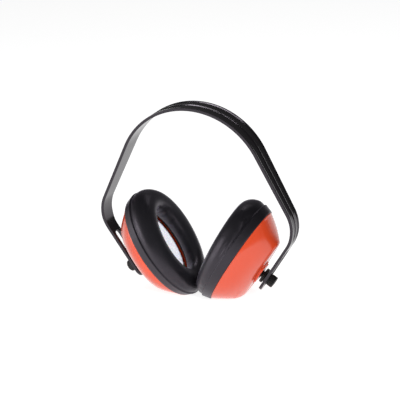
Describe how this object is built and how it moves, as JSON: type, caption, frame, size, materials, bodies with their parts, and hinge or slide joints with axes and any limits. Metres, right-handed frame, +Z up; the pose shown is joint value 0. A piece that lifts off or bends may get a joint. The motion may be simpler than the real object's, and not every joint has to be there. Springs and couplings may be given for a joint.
{
  "type": "hearing protection earmuffs",
  "caption": "Over-ear hearing protection muffs: sprung slotted headband, oval hard shells and soft sealing cushions on sliding, swivelling ball-joint clamps.",
  "frame": {"origin": "under the middle of the pair, at the height of the lowest point of the cups with the band relaxed and the cups lowest", "axes": "+X from the left cup to the right cup, +Y towards the back, +Z up through the crown of the band"},
  "size_m": [0.1846, 0.0744, 0.1777],
  "materials": {
    "band_plastic": "satin black moulded nylon",
    "shell_plastic": "glossy orange-red moulded ABS",
    "black_plastic": "satin black moulding",
    "seat_rubber": "soft moulded rubber",
    "steel": "zinc plated screws",
    "cover_vinyl": "soft black vinyl with a low sheen",
    "foam": "open-cell foam",
    "liner_foam": "white open-cell sound-absorbing foam"
  },
  "bodies": {
    "band_left": {"headband_left_half": "band_plastic"},
    "band_right": {"headband_right_half": "band_plastic"},
    "left_slider": {"left_clamp_stud": "black_plastic", "left_guide_washer": "black_plastic", "left_pivot_screw": "steel"},
    "left_knob": {"left_thumb_knob": "black_plastic"},
    "left_stem": {"left_spacer_collar": "black_plastic", "left_ball_stem": "black_plastic"},
    "left_seat": {"left_ball_seat": "seat_rubber"},
    "left_cup": {"left_cup_shell": "shell_plastic", "left_socket_cap": "black_plastic", "left_cap_screws": "steel", "left_foam_liner": "liner_foam", "left_cushion_plate": "black_plastic", "left_cushion_foam": "foam", "left_cushion_cover": "cover_vinyl"},
    "right_slider": {"right_clamp_stud": "black_plastic", "right_guide_washer": "black_plastic", "right_pivot_screw": "steel"},
    "right_knob": {"right_thumb_knob": "black_plastic"},
    "right_stem": {"right_spacer_collar": "black_plastic", "right_ball_stem": "black_plastic"},
    "right_seat": {"right_ball_seat": "seat_rubber"},
    "right_cup": {"right_cup_shell": "shell_plastic", "right_socket_cap": "black_plastic", "right_cap_screws": "steel", "right_foam_liner": "liner_foam", "right_cushion_plate": "black_plastic", "right_cushion_foam": "foam", "right_cushion_cover": "cover_vinyl"}
  },
  "joints": [
    {"name": "band_spread", "type": "hinge", "parent": "band_left", "child": "band_right", "pos_m": [0, 0, 0.178], "axis": [0, -1, 0], "range_deg": [0, 44], "stiffness_Nm_per_rad": 2.4},
    {"name": "left_slide", "type": "slide", "parent": "band_left", "child": "left_slider", "axis": [-0.549, 0, 0.8358], "range_m": [0, 0.02]},
    {"name": "left_knob_turn", "type": "hinge", "parent": "left_slider", "child": "left_knob", "pos_m": [-0.0555, 0, 0.03015], "axis": [-0.8358, 0, -0.549], "range_deg": [0, 360]},
    {"name": "left_swivel", "type": "hinge", "parent": "left_slider", "child": "left_stem", "pos_m": [-0.0555, 0, 0.03015], "axis": [-0.8358, 0, -0.549], "range_deg": [-15, 15]},
    {"name": "left_yaw", "type": "hinge", "parent": "left_stem", "child": "left_seat", "pos_m": [-0.0555, 0, 0.03015], "axis": [-0.549, 0, 0.8358], "range_deg": [-8, 8]},
    {"name": "left_tilt", "type": "hinge", "parent": "left_seat", "child": "left_cup", "pos_m": [-0.0555, 0, 0.03015], "axis": [0, 1, 0], "range_deg": [0, 10]},
    {"name": "right_slide", "type": "slide", "parent": "band_right", "child": "right_slider", "axis": [0.549, 0, 0.8358], "range_m": [0, 0.02]},
    {"name": "right_knob_turn", "type": "hinge", "parent": "right_slider", "child": "right_knob", "pos_m": [0.0555, 0, 0.03015], "axis": [0.8358, 0, -0.549], "range_deg": [0, 360]},
    {"name": "right_swivel", "type": "hinge", "parent": "right_slider", "child": "right_stem", "pos_m": [0.0555, 0, 0.03015], "axis": [0.8358, 0, -0.549], "range_deg": [-15, 15]},
    {"name": "right_yaw", "type": "hinge", "parent": "right_stem", "child": "right_seat", "pos_m": [0.0555, 0, 0.03015], "axis": [0.549, 0, 0.8358], "range_deg": [-8, 8]},
    {"name": "right_tilt", "type": "hinge", "parent": "right_seat", "child": "right_cup", "pos_m": [0.0555, 0, 0.03015], "axis": [0, -1, 0], "range_deg": [0, 10]}
  ]
}
